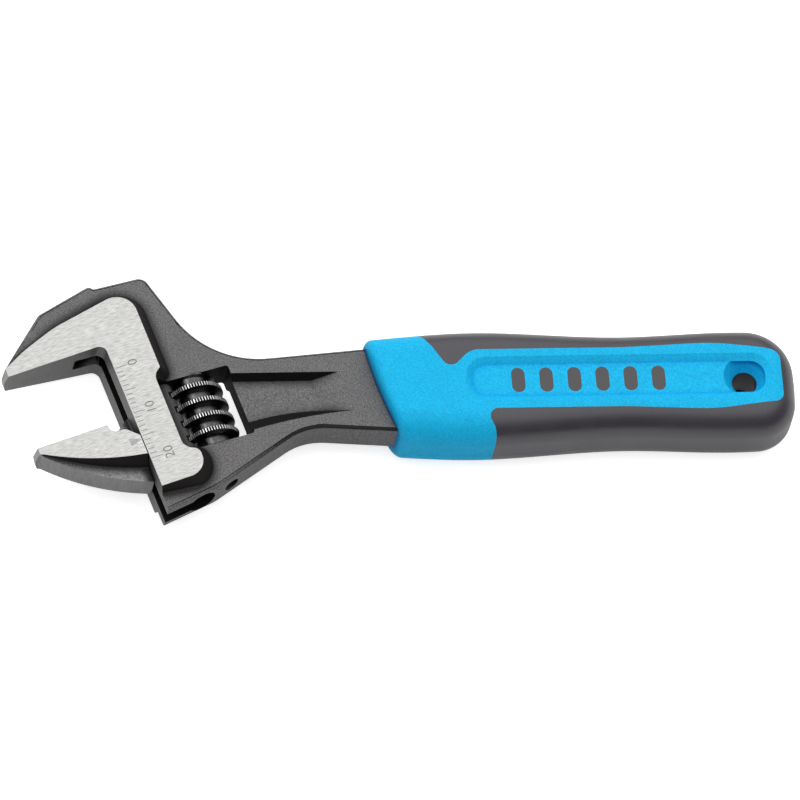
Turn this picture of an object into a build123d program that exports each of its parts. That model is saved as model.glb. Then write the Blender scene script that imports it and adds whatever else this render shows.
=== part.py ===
from build123d import *
import math
import os

# Driving dimensions, in millimetres and degrees. X runs along the handle from the head to the
# butt, Y across it towards the fixed jaw, and Z up through the thickness. Sizes on the head are
# given in its own directions: "along" the jaw faces from the throat wall, and "rise" or "drop"
# across them from the fixed jaw's face. While it is modelled, the origin is the throat corner.

# Head
head_angle = 15.7
jaw_length = 19.15
jaw_opening = 16.0
head_thickness = 11.1
face_taper = 7.8
forged_thickness = 7.0
forged_rounding = 0.8
throat_rounding = 1.6
tip_rise = 1.8
tip_ridge = 0.6
shoulder_setback = 9.15
shoulder_rise = 10.7
shoulder_rounding = 2.0
crown_along = 2.15
crown_rise = 13.75
crown_step = 0.8
crown_rounding = 1.0
heel_along = 12.95
heel_rise = 12.6
heel_rounding = 2.0
chin_drop = 35.8
boss_along = 10.95
boss_drop = 33.85
boss_rounding = 12.0

# Neck and tang
nape_start = 20.4
nape_drop = 3.05
nape_rounding = 18.0
neck_foot_start = 37.6
neck_foot_drop = 17.05
neck_foot_rounding = 12.0
neck_end_rise = 0.1
neck_end_drop = 18.45
tang_height = 10.4
tang_start = 59.5
tang_end = 115.5
tang_rounding = 1.6

# Ground faces of the fixed jaw and the scale strip
strip_width = 6.7
strip_shoulder = 8.25
strip_foot = 9.35
strip_drop = 31.5
strip_foot_rounding = 3.4
strip_notch_height = 14.5
strip_notch_rounding = 1.6
strip_step_rounding = 0.5
ground_rise = 9.6
ground_knee_setback = 7.85
ground_knee_rise = 6.6
ground_nose_setback = 14.65
ground_nose_rise = 4.1
ground_bend_rounding = 20.0
ground_heel_rounding = 4.0
ground_step = 0.5
ground_flare = 31.0
ground_foot_flare = 25.0

# Moving jaw
jaw_root_height = 12.95
jaw_belly_height = 8.5
jaw_belly_setback = 10.0
jaw_tip_height = 1.3
jaw_forged_thickness = 5.0
jaw_ground_height = 8.2
jaw_bow_height = 5.65
jaw_notch_length = 5.25
jaw_notch_depth = 1.9
jaw_notch_slope = 2.4
jaw_notch_rounding = 1.6
web_rise = 1.5
web_setback = 0.4
web_reach = 2.6
web_dip = 0.25
web_lap = 1.0
rack_diameter = 5.4
rack_above = 7.0
rack_below = 16.0
rack_along = 7.85
rack_chamfer = 0.5
slot_width = 3.4
slot_cutter_radius = 9.0
slot_cutter_along = 1.45
slot_depth_beyond_face = 3.4
slot_clearance = 0.1
slide_clearance = 0.08
jaw_clearance = 0.2
bore_spare_depth = 1.0

# Worm, pin and spring
window_end = 21.7
window_drop = 9.9
window_height = 15.1
window_rounding = 0.6
worm_along = 14.5
worm_diameter = 10.4
worm_root_diameter = 6.8
worm_pitch = 3.25
worm_phase = 2.0
worm_chamfer = 1.5
worm_chamfer_lead = 0.4
thread_crest = 0.9
thread_root = 1.6
mesh_clearance = 0.25
end_clearance = 0.15
pin_diameter = 3.0
pin_clearance = 0.05
pin_anchor = 5.0
pin_inset = 0.6
driver_slot_width = 0.6
driver_slot_depth = 0.8
driver_slot_turn = 45.0
spring_wire = 0.5
spring_turns = 4
spring_length = 4.0
spring_clearance = 0.25
spring_seat_gap = 0.05

# Neck pockets, at their rim and at their floor
pocket_depth = 1.5
pocket_lap = 0.7
pocket_rim_drop = 5.45
pocket_rim_end = 44.6
pocket_rim_foot_end = 47.0
pocket_rim_foot_drop = 13.8
pocket_rim_bow = 36.0
pocket_rim_bow_drop = 15.4
pocket_rim_start_drop = 17.8
pocket_floor_drop = 6.55
pocket_floor_end = 39.6
pocket_floor_foot_end = 41.6
pocket_floor_foot_drop = 13.05
pocket_floor_bow = 33.7
pocket_floor_bow_drop = 13.65
pocket_floor_start_drop = 15.5

# Handle
handle_drop = 9.45
handle_end = 132.1
handle_thickness = 14.6
handle_rounding = 5.2
collar_along = 47.6
collar_bow = 86.0
collar_bow_drop = 23.2
collar_place = 42.5
collar_height = 19.5
collar_rounding = 1.4
swell_place = 59.5
swell_height = 22.7
bulge_place = 70.0
bulge_height = 23.7
waist_place = 99.0
waist_height = 20.9
butt_place = 117.5
butt_height = 22.2
butt_upper_rounding = 9.2
butt_lower_rounding = 7.2
butt_crown = 1.0

# Blue shell as it shows between the soft grips
panel_height = 12.6
panel_bulge_place = 116.0
panel_bulge_height = 14.2
butt_wall = 2.9
panel_end = handle_end - butt_wall
panel_end_height = 10.8
panel_bend_rounding = 40.0
panel_corner = 2.0
thumb_start = 59.8
thumb_start_rounding = 5.0
thumb_tip = 65.5
thumb_tip_rise = 2.0
thumb_tip_rounding = 1.8
thumb_end = 69.7
thumb_end_rounding = 4.0
foot_start = 71.2
foot_rounding = 1.6
foot_lean = 2.4
foot_lean_depth = 4.0
recess_start = 68.4
recess_margin = 1.8
recess_end = panel_end - recess_margin
recess_height = 9.4
recess_corner = 4.2
recess_depth = 0.8
recess_slope = 60.0
hole_setback = 9.7
hole_place = handle_end - hole_setback
hole_diameter = 4.8
funnel_diameter = 8.8
funnel_depth = 3.0

# Soft inlays in the panel
inlay_count = 6
inlay_start = 78.5
inlay_pitch = 5.4
inlay_width = 2.6
inlay_height = 5.2
inlay_depth = 0.7

# Working allowances: stock that is cut away again, and lengths that pass right through
stock = 3.0
through = 80.0


def head_point(along, rise):
    """Plan point, from distances along and across the jaws."""
    turn = math.radians(head_angle)
    x = along * math.cos(turn) - rise * math.sin(turn)
    y = along * math.sin(turn) + rise * math.cos(turn)
    return (x, y)


def head_points(*pairs):
    """Plan points for pairs given in the head's directions."""
    return [head_point(along, rise) for along, rise in pairs]


def plate(points, radii, half_thickness):
    """Flat plate about the mid plane, from an outline with rounded corners."""
    outline = FilletPolyline(*points, radius=radii, close=True)
    return extrude(make_face(outline), half_thickness, both=True)


def slide_frame(along, rise):
    """Location at a head point, with z along the opening travel and x towards the throat."""
    turn = math.radians(head_angle)
    x, y = head_point(along, rise)
    towards_throat = (-math.cos(turn), -math.sin(turn), 0)
    opening = (math.sin(turn), -math.cos(turn), 0)
    return Plane(origin=(x, y, 0), x_dir=towards_throat, z_dir=opening).location


def rod(along, top_rise, bottom_rise, diameter):
    """Round rod parallel to the slide, between two heights across the jaws."""
    length = top_rise - bottom_rise
    shape = Cylinder(diameter / 2, length, align=(Align.CENTER, Align.CENTER, Align.MIN))
    return slide_frame(along, top_rise) * shape


def chin_rise(along):
    """Height of the head's lower edge, which has a flat chin and then rises to the neck."""
    boss_x, boss_y = head_point(boss_along, -boss_drop)
    climb = math.atan2(-neck_foot_drop - boss_y, neck_foot_start - boss_x)
    chin_slope = (chin_drop - boss_drop) / boss_along
    neck_slope = math.tan(climb - math.radians(head_angle))
    return -boss_drop + (along - boss_along) * (chin_slope if along < boss_along else neck_slope)


def head_prism(section):
    """Prism right across the head, from points given along the jaws and through the thickness."""
    face = make_face(Plane.XZ * Polyline(*section, close=True))
    return Rot(0, 0, head_angle) * extrude(face, 2 * through, both=True)


def between_ground_faces(inset):
    """Wedge inside the two ground planes by the given inset, thinnest at the jaw tips."""
    slope = math.tan(math.radians(face_taper))
    apex = (inset - head_thickness / 2) / slope
    far = 2 * through
    half = (far - apex) * slope
    return head_prism([(apex, 0), (far, -half), (far, half)])


def past_tips():
    """Everything beyond the jaw tips, which are blunt with a slight ridge at the mid plane."""
    tip_half = head_thickness / 2 - jaw_length * math.tan(math.radians(face_taper))
    ridge = -jaw_length - tip_ridge
    side = ridge + tip_ridge / tip_half * through
    return head_prism(
        [(-through, through), (side, through), (ridge, 0), (side, -through), (-through, -through)]
    )


def flared_pads(outline, forged_height, flare):
    """Pads on both forged faces, topped by the ground planes and wider towards the foot.

    The outline is given along and across the jaws, as it shows on the ground plane.
    """
    spread = math.tan(math.radians(flare))
    highest = head_thickness / 2 + math.tan(math.radians(face_taper)) * strip_foot
    depth = highest - forged_height / 2 + forged_rounding
    foot = offset(outline, depth * spread, kind=Kind.ARC)
    pad = Pos(0, 0, -depth) * extrude(foot, depth, taper=flare)
    ground_plane = Pos(0, 0, head_thickness / 2) * Rot(0, 0, head_angle) * Rot(0, -face_taper, 0)
    upper = ground_plane * pad
    return upper + mirror(upper, Plane.XY)


def forged(shape):
    """The plate with its long edges rounded, as a drop forging leaves them."""
    flats = shape.faces().filter_by(Axis.Z)
    return fillet(flats.edges(), forged_rounding)


def jaw_gap():
    """Everything in front of the fixed jaw's face and the throat wall."""
    return plate(
        head_points((-through, 0), (0, 0), (0, -through), (-through, -through)),
        [0, throat_rounding, 0, 0],
        through,
    )


def body_plan():
    """Corners of the forged body with their roundings: fixed jaw, head, neck and tang."""
    back_slope = (shoulder_rise - tip_rise) / (jaw_length - shoulder_setback)
    tang_top = tang_height / 2 - handle_drop
    tang_foot = -tang_height / 2 - handle_drop
    points = head_points(
        (-jaw_length - stock, -stock),
        (-stock, -stock),
        (-stock, chin_rise(-stock)),
        (boss_along, -boss_drop),
    )
    points += [
        (neck_foot_start, -neck_foot_drop),
        (tang_start - stock, -neck_end_drop),
        (tang_start, tang_foot),
        (tang_end, tang_foot),
        (tang_end, tang_top),
        (tang_start, tang_top),
        (tang_start - stock, neck_end_rise),
        (nape_start, -nape_drop),
    ]
    points += head_points(
        (heel_along, heel_rise),
        (crown_along + crown_step, crown_rise - crown_step),
        (crown_along, crown_rise),
        (-shoulder_setback, shoulder_rise),
        (-jaw_length - stock, tip_rise - back_slope * stock),
    )
    radii = [0, 0, 0, boss_rounding, neck_foot_rounding, 0, 0, tang_rounding, tang_rounding, 0, 0]
    radii += [nape_rounding, heel_rounding, 0, crown_rounding, shoulder_rounding, 0]
    return points, radii


def strip_pads():
    """Raised L on both faces: the fixed jaw's cheek and the scale strip."""
    notch_foot = -window_drop - strip_notch_height - strip_notch_rounding
    notch_top = -window_drop + strip_notch_rounding
    nose_slope = (ground_nose_rise - tip_rise) / (jaw_length - ground_nose_setback)
    corners = [
        (-jaw_length - stock, -stock),
        (-stock, -stock),
        (-stock, -strip_drop),
        (strip_foot, -strip_drop),
        (strip_foot, notch_foot),
        (strip_width, notch_foot),
        (strip_width, notch_top),
        (strip_shoulder, notch_top),
        (strip_shoulder, ground_rise),
        (-ground_knee_setback, ground_knee_rise),
        (-ground_nose_setback, ground_nose_rise),
        (-jaw_length - stock, tip_rise - nose_slope * stock),
    ]
    radii = [0, 0, 0, strip_foot_rounding, strip_notch_rounding, strip_step_rounding]
    radii += [strip_step_rounding, strip_step_rounding, ground_heel_rounding]
    radii += [ground_bend_rounding, ground_bend_rounding, 0]
    outline = make_face(FilletPolyline(*corners, radius=radii, close=True))
    pads = flared_pads(outline, forged_thickness, ground_flare)
    above_foot = Pos(0, -strip_drop) * Rectangle(
        2 * through,
        through,
        align=(Align.CENTER, Align.MIN),
    )
    return pads & flared_pads(above_foot, forged_thickness, ground_foot_flare)


def window_side(drop):
    """Plan point just inside the far side of the worm's window, at a given drop."""
    turn = math.radians(head_angle)
    return ((window_end - pocket_lap + drop * math.sin(turn)) / math.cos(turn), -drop)


def pocket_face(height, top_drop, top_end, foot_end, bow, start_drop):
    """Outline of a neck pocket at one height: straight top and end, and a bowed foot."""
    frame = Polyline(
        window_side(start_drop),
        window_side(top_drop),
        (top_end, -top_drop),
        foot_end,
    )
    foot = ThreePointArc(frame @ 1, bow, frame @ 0)
    return Pos(0, 0, height) * make_face(frame + foot)


def pocket_cut():
    """Neck pocket of the upper face: flat floor, sloping walls and a long ramp at its end."""
    rim = pocket_face(
        forged_thickness / 2,
        pocket_rim_drop,
        pocket_rim_end,
        (pocket_rim_foot_end, -pocket_rim_foot_drop),
        (pocket_rim_bow, -pocket_rim_bow_drop),
        pocket_rim_start_drop,
    )
    floor = pocket_face(
        forged_thickness / 2 - pocket_depth,
        pocket_floor_drop,
        pocket_floor_end,
        (pocket_floor_foot_end, -pocket_floor_foot_drop),
        (pocket_floor_bow, -pocket_floor_bow_drop),
        pocket_floor_start_drop,
    )
    return loft([floor, rim], ruled=True)


def worm_window():
    """Window through the head in which the worm turns."""
    foot = -window_drop - window_height
    return plate(
        head_points(
            (strip_width, -window_drop),
            (window_end, -window_drop),
            (window_end, foot),
            (strip_width, foot),
        ),
        window_rounding,
        through,
    )


def slide_channel():
    """Keyhole channel of the moving jaw: round bore, slot, and the slot cutter's run-out."""
    bore_diameter = rack_diameter + 2 * slide_clearance
    bore = rod(rack_along, rack_above + bore_spare_depth, -through, bore_diameter)
    slot = plate(
        head_points((-stock, 0), (rack_along, 0), (rack_along, -through), (-stock, -through)),
        0,
        slot_width / 2,
    )
    x, y = head_point(slot_cutter_along, slot_depth_beyond_face - slot_cutter_radius)
    run_out = Pos(x, y, 0) * Cylinder(slot_cutter_radius, slot_width)
    return bore + slot + run_out


def make_body():
    """Forged and machined body with the fixed jaw."""
    points, radii = body_plan()
    forging = forged(plate(points, radii, forged_thickness / 2))
    pads = strip_pads() & plate(points, radii, head_thickness)
    pocket = pocket_cut()
    pin_top = -window_drop + pin_anchor
    body = (forging & between_ground_faces(ground_step)) + pads
    body -= jaw_gap()
    body -= past_tips()
    body -= slide_channel()
    body -= worm_window()
    body -= pocket
    body -= mirror(pocket, Plane.XY)
    body -= rod(worm_along, pin_top, -through, pin_diameter)
    return body


def rack_teeth():
    """Slanted gashes across the rack bar, one for each turn of the worm's thread."""
    reach_in = rack_along + rack_diameter / 2 - (worm_along - worm_diameter / 2) + mesh_clearance
    lean = math.degrees(math.atan2(worm_pitch, math.pi * (worm_diameter - reach_in)))
    widen = (thread_root - thread_crest) / (worm_diameter - worm_root_diameter)
    bottom = thread_crest / 2 + mesh_clearance
    top = bottom + 2 * reach_in * widen
    profile = Polyline(
        (-bottom, 0),
        (bottom, 0),
        (top, 2 * reach_in),
        (-top, 2 * reach_in),
        close=True,
    )
    gash = extrude(make_face(profile), rack_diameter, both=True)
    first = -window_drop - end_clearance - worm_phase
    top_end = -jaw_opening + rack_above
    bottom_end = -jaw_opening - rack_below
    highest = math.ceil((top_end - first) / worm_pitch)
    lowest = math.floor((bottom_end - first) / worm_pitch)
    base = rack_along + rack_diameter / 2 - reach_in
    gashes = []
    for step in range(lowest, highest + 1):
        x, y = head_point(base, first + step * worm_pitch)
        place = Location((x, y, 0), (0, 0, head_angle - 90))
        gashes.append(place * Rot(0, lean, 0) * gash)
    return gashes


def jaw_notch(face):
    """Relief at the jaw's throat end, which clears the throat's rounded corner."""
    return plate(
        head_points(
            (-jaw_notch_length, face + stock),
            (-jaw_notch_length, face - jaw_notch_depth),
            (-jaw_notch_slope, face - jaw_notch_depth),
            (stock, face - jaw_notch_depth - jaw_notch_slope - stock),
            (stock, face + stock),
        ),
        [0, jaw_notch_rounding, jaw_notch_rounding, 0, 0],
        through,
    )


def make_jaw():
    """Moving jaw with its web and the round rack bar."""
    face = -jaw_opening
    root = face - jaw_root_height
    tip = head_point(-jaw_length, face - jaw_tip_height)
    belly = head_point(-jaw_belly_setback, face - jaw_belly_height)
    lower = ThreePointArc(tip, belly, head_point(0, root))
    upper = Polyline(
        lower @ 1,
        head_point(0, face),
        head_point(-jaw_length - stock, face),
        head_point(-jaw_length - stock, face - jaw_tip_height),
        tip,
    )
    outline = make_face(lower + upper)
    bow = ThreePointArc(
        (-jaw_length, face - jaw_tip_height),
        (-jaw_belly_setback, face - jaw_bow_height),
        (0, face - jaw_ground_height),
    )
    border = Polyline(
        bow @ 1,
        (0, face + stock),
        (-jaw_length - stock, face + stock),
        (-jaw_length - stock, face - jaw_tip_height),
        bow @ 0,
    )
    pads = flared_pads(make_face(bow + border), jaw_forged_thickness, ground_flare)
    jaw = extrude(outline, jaw_forged_thickness / 2, both=True) & between_ground_faces(ground_step)
    jaw += pads & extrude(outline, head_thickness, both=True)
    jaw -= past_tips()
    jaw -= plate(
        head_points(
            (-jaw_clearance, through),
            (through, through),
            (through, -through),
            (-jaw_clearance, -through),
        ),
        0,
        through,
    )
    jaw -= jaw_notch(face)
    web = plate(
        head_points(
            (-jaw_notch_length - web_lap, face - jaw_notch_depth - web_lap),
            (-web_reach, face - web_dip),
            (-web_setback, face + web_rise),
            (rack_along, face + web_rise),
            (rack_along, root),
            (-jaw_notch_length, root + 2 * jaw_notch_depth),
        ),
        0,
        slot_width / 2 - slot_clearance,
    )
    bar = rod(rack_along, face + rack_above, face - rack_below, rack_diameter)
    bar = chamfer(bar.edges().filter_by(GeomType.CIRCLE), rack_chamfer)
    jaw = jaw + web + bar
    for gash in rack_teeth():
        jaw -= gash
    return jaw


def make_worm():
    """Worm with a left-hand thread, bored for the pin and the spring."""
    length = window_height - 2 * end_clearance
    root = worm_root_diameter / 2
    overlap = root / 10
    flank = (thread_root - thread_crest) / (worm_diameter - worm_root_diameter)
    root_half = thread_root / 2 + overlap * flank
    path = Helix(worm_pitch, length + 4 * worm_pitch, root, lefthand=True)
    profile = Polyline(
        (root - overlap, -root_half),
        (worm_diameter / 2, -thread_crest / 2),
        (worm_diameter / 2, thread_crest / 2),
        (root - overlap, root_half),
        close=True,
    )
    thread = sweep(make_face(Plane.XZ * profile), path=path, is_frenet=True)
    upright = (Align.CENTER, Align.CENTER, Align.MIN)
    blank = Cylinder(worm_diameter / 2 + worm_chamfer_lead, length, align=upright)
    blank = chamfer(blank.edges().filter_by(GeomType.CIRCLE), worm_chamfer + worm_chamfer_lead)
    thread = Pos(0, 0, worm_phase - 2 * worm_pitch) * thread & blank
    worm = Cylinder(root, length, align=upright) + thread
    worm -= Cylinder(pin_diameter / 2 + pin_clearance, length, align=upright)
    worm -= Cylinder(spring_outer() / 2 + spring_clearance, spring_length, align=upright)
    return slide_frame(worm_along, -window_drop - end_clearance) * worm


def spring_outer():
    """Outside diameter of the spring, which runs clear of the pin."""
    return pin_diameter + 2 * spring_clearance + 2 * spring_wire


def make_spring():
    """Coil spring round the pin, in the end of the worm, against the window's end."""
    mean = spring_outer() / 2 - spring_wire / 2
    rise = spring_length + end_clearance - 2 * spring_seat_gap - spring_wire
    path = Helix(rise / spring_turns, rise, mean)
    section = Plane(origin=path @ 0, z_dir=path % 0) * Circle(spring_wire / 2)
    coil = sweep(section, path=path, is_frenet=True)
    lift = spring_seat_gap + spring_wire / 2
    return slide_frame(worm_along, -window_drop) * Pos(0, 0, lift) * coil


def make_pin():
    """Pin that the worm turns on, with a driver slot in its lower end."""
    top = -window_drop + pin_anchor
    bottom = chin_rise(worm_along) + pin_inset + pin_diameter / 2
    pin = rod(worm_along, top, bottom, pin_diameter)
    slot = Box(driver_slot_width, 2 * pin_diameter, 2 * driver_slot_depth)
    return pin - slide_frame(worm_along, bottom) * Rot(0, 0, driver_slot_turn) * slot


def handle_blank():
    """Outer form of the two-part handle, cut in a shallow bow across the head at the collar."""
    axis = -handle_drop
    places = [
        (collar_place, collar_height),
        (swell_place, swell_height),
        (bulge_place, bulge_height),
        (waist_place, waist_height),
        (butt_place, butt_height),
        (handle_end - butt_crown, butt_height - butt_crown),
    ]
    upper = Spline(*[(x, axis + height / 2) for x, height in places])
    lower = Spline(*[(x, axis - height / 2) for x, height in places])
    end = ThreePointArc(upper @ 1, (handle_end, axis), lower @ 1)
    start = Line(lower @ 0, upper @ 0)
    outline = make_face(upper + end + lower + start)
    for height, rounding in ((butt_height, butt_upper_rounding), (-butt_height, butt_lower_rounding)):
        corner = outline.vertices().sort_by_distance((handle_end, axis + height))[0]
        outline = fillet(corner, rounding)
    blank = extrude(outline, handle_thickness / 2, both=True)
    blank = fillet(blank.faces().filter_by(Axis.Z).edges(), handle_rounding)
    reach = collar_along + collar_height / 2
    front = plate(
        head_points(
            (-through, through),
            (reach, through),
            (reach, -2 * through),
            (-through, -2 * through),
        ),
        0,
        through,
    )
    x, y = head_point(collar_along + collar_bow, -collar_bow_drop)
    blank -= front - Pos(x, y, 0) * Cylinder(collar_bow, 4 * through)
    rim = blank.faces().sort_by(Axis.X)[0].edges()
    return fillet(rim, collar_rounding)


def shell_zone():
    """Plan of the hard shell where it shows: the collar and the panel behind it."""
    axis = -handle_drop
    top = axis + panel_height / 2
    foot = axis - panel_height / 2
    lean_end = foot_start + foot_lean
    return plate(
        [
            (0, through),
            (thumb_start, through),
            (thumb_start, axis + swell_height / 2),
            (thumb_tip, axis + thumb_tip_rise),
            (thumb_end, top),
            (waist_place, top),
            (panel_bulge_place, axis + panel_bulge_height / 2),
            (panel_end, axis + panel_end_height / 2),
            (panel_end, axis - panel_end_height / 2),
            (panel_bulge_place, axis - panel_bulge_height / 2),
            (waist_place, foot),
            (foot_start, foot),
            (lean_end, foot - foot_lean_depth),
            (lean_end, -through),
            (0, -through),
        ],
        [
            0,
            0,
            thumb_start_rounding,
            thumb_tip_rounding,
            thumb_end_rounding,
            panel_bend_rounding,
            panel_bend_rounding,
            panel_corner,
            panel_corner,
            panel_bend_rounding,
            panel_bend_rounding,
            foot_rounding,
            thumb_end_rounding,
            0,
            0,
        ],
        through,
    )


def recess_cut():
    """Shallow sunken field of the upper panel, with sloping sides."""
    floor = handle_thickness / 2 - recess_depth
    spread = recess_depth * math.tan(math.radians(recess_slope))
    field = Pos((recess_start + recess_end) / 2, -handle_drop, floor) * RectangleRounded(
        recess_end - recess_start - 2 * spread,
        recess_height - 2 * spread,
        recess_corner - spread,
    )
    return extrude(field, 2 * recess_depth, taper=-recess_slope)


def hole_cut():
    """Hanging hole through the butt, with a funnel at each face."""
    face = handle_thickness / 2 - recess_depth
    hole = Cylinder(hole_diameter / 2, through)
    funnel = Pos(0, 0, face - funnel_depth) * Cone(
        hole_diameter / 2,
        funnel_diameter / 2,
        funnel_depth,
        align=(Align.CENTER, Align.CENTER, Align.MIN),
    )
    return Pos(hole_place, -handle_drop, 0) * (hole + funnel + mirror(funnel, Plane.XY))


def make_inlays():
    """Row of plain soft bars, let into the panel on both faces."""
    floor = handle_thickness / 2 - recess_depth
    bar = SlotOverall(inlay_height, inlay_width, rotation=90)
    bars = []
    for index in range(inlay_count):
        place = Pos(inlay_start + index * inlay_pitch, -handle_drop, floor)
        upper = extrude(place * bar, -inlay_depth)
        bars += [upper, mirror(upper, Plane.XY)]
    return bars


def make_handle(body):
    """Hard shell, soft grip and inlays, moulded round the tang.

    Returns the three shapes in that order.
    """
    blank = handle_blank()
    zone = shell_zone()
    recess = recess_cut()
    inlays = make_inlays()
    shell = (blank & zone) - body - recess - mirror(recess, Plane.XY) - hole_cut()
    for bar in inlays:
        shell -= bar
    grip = blank - zone - body
    return shell, grip, Compound(inlays)


def make_pieces():
    """All pieces by name, in the modelling frame."""
    body = make_body()
    shell, grip, inlays = make_handle(body)
    return {
        "wrench_body": body,
        "moving_jaw": make_jaw(),
        "worm": make_worm(),
        "worm_pin": make_pin(),
        "worm_spring": make_spring(),
        "grip_core": shell,
        "grip_sleeve": grip,
        "grip_inlays": inlays,
    }


pieces = make_pieces()
box = Compound(list(pieces.values())).bounding_box()
shift = Pos(-box.center().X, -box.center().Y, -box.min.Z)

os.makedirs("parts", exist_ok=True)
for name, piece in pieces.items():
    export_step(shift * piece, "parts/" + name + ".step")
    print(name, len(piece.solids()), round(piece.volume, 1))
print("shift", shift.position, "size", box.size)
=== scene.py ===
"""Looks of an adjustable wrench, in metres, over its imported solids."""

import logging
import math
from dataclasses import dataclass, field
from enum import IntEnum
from typing import Callable

import bmesh
import bpy
from mathutils import Matrix, Vector


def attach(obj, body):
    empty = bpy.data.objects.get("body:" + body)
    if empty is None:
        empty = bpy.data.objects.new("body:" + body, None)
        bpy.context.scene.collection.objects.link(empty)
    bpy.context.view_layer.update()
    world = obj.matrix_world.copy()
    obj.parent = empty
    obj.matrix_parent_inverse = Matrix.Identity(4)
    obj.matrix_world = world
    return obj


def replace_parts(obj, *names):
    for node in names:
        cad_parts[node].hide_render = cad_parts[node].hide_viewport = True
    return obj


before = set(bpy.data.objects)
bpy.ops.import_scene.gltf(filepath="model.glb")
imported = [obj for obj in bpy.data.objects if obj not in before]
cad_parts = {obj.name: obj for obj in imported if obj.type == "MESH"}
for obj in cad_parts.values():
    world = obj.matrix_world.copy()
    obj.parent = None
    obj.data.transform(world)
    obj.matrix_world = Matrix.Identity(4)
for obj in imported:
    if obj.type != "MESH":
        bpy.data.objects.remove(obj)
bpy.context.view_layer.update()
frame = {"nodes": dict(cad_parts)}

LOG = logging.getLogger("wrench")
MM = 0.001
Span = tuple[float, float]
Triple = tuple[float, float, float]
Colour = tuple[float, float, float]
Shades = tuple[Span, ...]
Stops = list[tuple[float, Colour]]
Socket = bpy.types.NodeSocket
WHITE: Colour = (1.0, 1.0, 1.0)


def grey(level: float) -> Colour:
    """A neutral colour of the given level."""
    return (level, level, level)


def greys(shades: Shades) -> Stops:
    """Neutral stops, from places with their levels."""
    return [(place, grey(level)) for place, level in shades]


def scaled(colour: Colour, share: float) -> Colour:
    """The colour made lighter or darker by a share."""
    return (colour[0] * share, colour[1] * share, colour[2] * share)


@dataclass(frozen=True)
class HeadFrame:
    """Directions of the head: along the jaw faces and across them, in millimetres.

    Its origin is the corner of the fixed jaw's face and the throat wall, at mid thickness.
    """

    turn: float = math.radians(15.7)
    corner: Triple = (-56.3721, 9.56005, 7.3)
    taper: float = math.radians(7.8)
    half_thickness: float = 5.55
    plane_play: float = 0.1
    plane_facing: float = 0.999
    level_facing: float = 0.985
    jaw_length: float = 19.15
    tip_depth: float = 0.9
    tip_facing: float = 0.8

    def along(self) -> Vector:
        """Unit vector along the jaw faces, away from their tips."""
        return Vector((math.cos(self.turn), math.sin(self.turn), 0.0))

    def rise(self) -> Vector:
        """Unit vector across the jaw faces, towards the fixed jaw."""
        return Vector((-math.sin(self.turn), math.cos(self.turn), 0.0))

    def opening(self) -> Vector:
        """Unit vector in which the moving jaw opens."""
        return -self.rise()

    def place(self, along: float, rise: float, height: float = 0.0) -> Vector:
        """Point of the row frame, in metres.

        Args:
            along: distance along the jaw faces.
            rise: distance across them.
            height: distance above the mid plane.

        Returns:
            The point.
        """
        flat = self.along() * along + self.rise() * rise
        return (Vector(self.corner) + flat + Vector((0.0, 0.0, height))) * MM

    def offset(self, point: Vector) -> Vector:
        """Offset of a point of the row frame from the corner, in millimetres."""
        return Vector(point) / MM - Vector(self.corner)

    def local(self, point: Vector) -> Triple:
        """Distances along, across and above, in millimetres, of a point of the row frame."""
        offset = self.offset(point)
        return offset.dot(self.along()), offset.dot(self.rise()), offset.z

    def ground_height(self, along: float) -> float:
        """Height of the upper ground plane above the mid plane."""
        return self.half_thickness + along * math.tan(self.taper)

    def ground_normal(self) -> Vector:
        """Outward normal of the upper ground plane."""
        return (Vector((0.0, 0.0, 1.0)) - self.along() * math.tan(self.taper)).normalized()

    def is_ground(self, centre: Vector, normal: Vector) -> bool:
        """Tells whether a facet lies on one of the two ground planes.

        Args:
            centre: the facet's centre, in metres.
            normal: its outward normal.

        Returns:
            True on either plane.
        """
        along, _, height = self.local(centre)
        facing = Vector((normal.x, normal.y, abs(normal.z)))
        level = abs(abs(height) - self.ground_height(along)) < self.plane_play
        return level and facing.dot(self.ground_normal()) > self.plane_facing

    def at_tip(self, centre: Vector, normal: Vector) -> bool:
        """Tells whether a facet is on the end of a jaw.

        Args:
            centre: the facet's centre, in metres.
            normal: its outward normal.

        Returns:
            True on the end of either jaw.
        """
        near = self.local(centre)[0] < self.tip_depth - self.jaw_length
        return near and normal.dot(self.along()) < -self.tip_facing

    def on_ground(self, along: float, rise: float) -> Matrix:
        """Frame on the upper ground plane, with x along the jaws, y across them and z outward.

        Args:
            along: distance along the jaw faces.
            rise: distance across them.

        Returns:
            The matrix, with lengths in metres.
        """
        up = self.ground_normal()
        across = self.rise()
        axes = Matrix((across.cross(up), across, up)).transposed().to_4x4()
        return Matrix.Translation(self.place(along, rise, self.ground_height(along))) @ axes


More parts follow.
